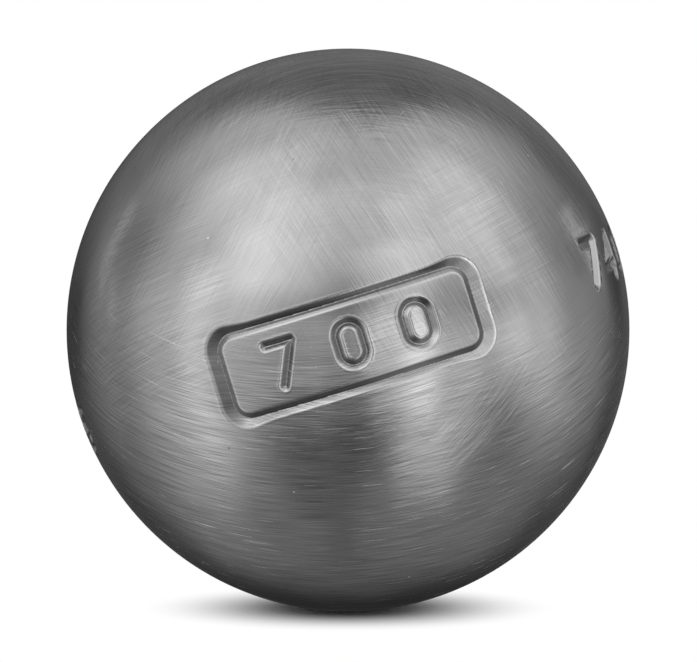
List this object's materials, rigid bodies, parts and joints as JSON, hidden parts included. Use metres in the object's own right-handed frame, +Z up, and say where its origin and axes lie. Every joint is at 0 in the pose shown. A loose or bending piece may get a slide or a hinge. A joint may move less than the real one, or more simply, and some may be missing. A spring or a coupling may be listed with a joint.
{
  "type": "petanque boule",
  "caption": "Hollow steel playing ball of two half shells butt-welded in a V groove, satin turned, with recessed plain-number stamps on one tilted band.",
  "frame": {"origin": "centre of the ball", "axes": "+Z up, -Y towards the viewer and the framed mark, +X to the viewer's right; the seam's plane holds Z and lies halfway between -Y and +X"},
  "size_m": [0.074, 0.074, 0.074],
  "materials": {
    "shell_steel": "satin",
    "root_weld_metal": "matte",
    "cap_weld_metal": "satin"
  },
  "bodies": {
    "root": {"front_half_shell": "shell_steel", "rear_half_shell": "shell_steel", "weld_root_run": "root_weld_metal", "weld_cap_run": "cap_weld_metal"}
  },
  "joints": []
}
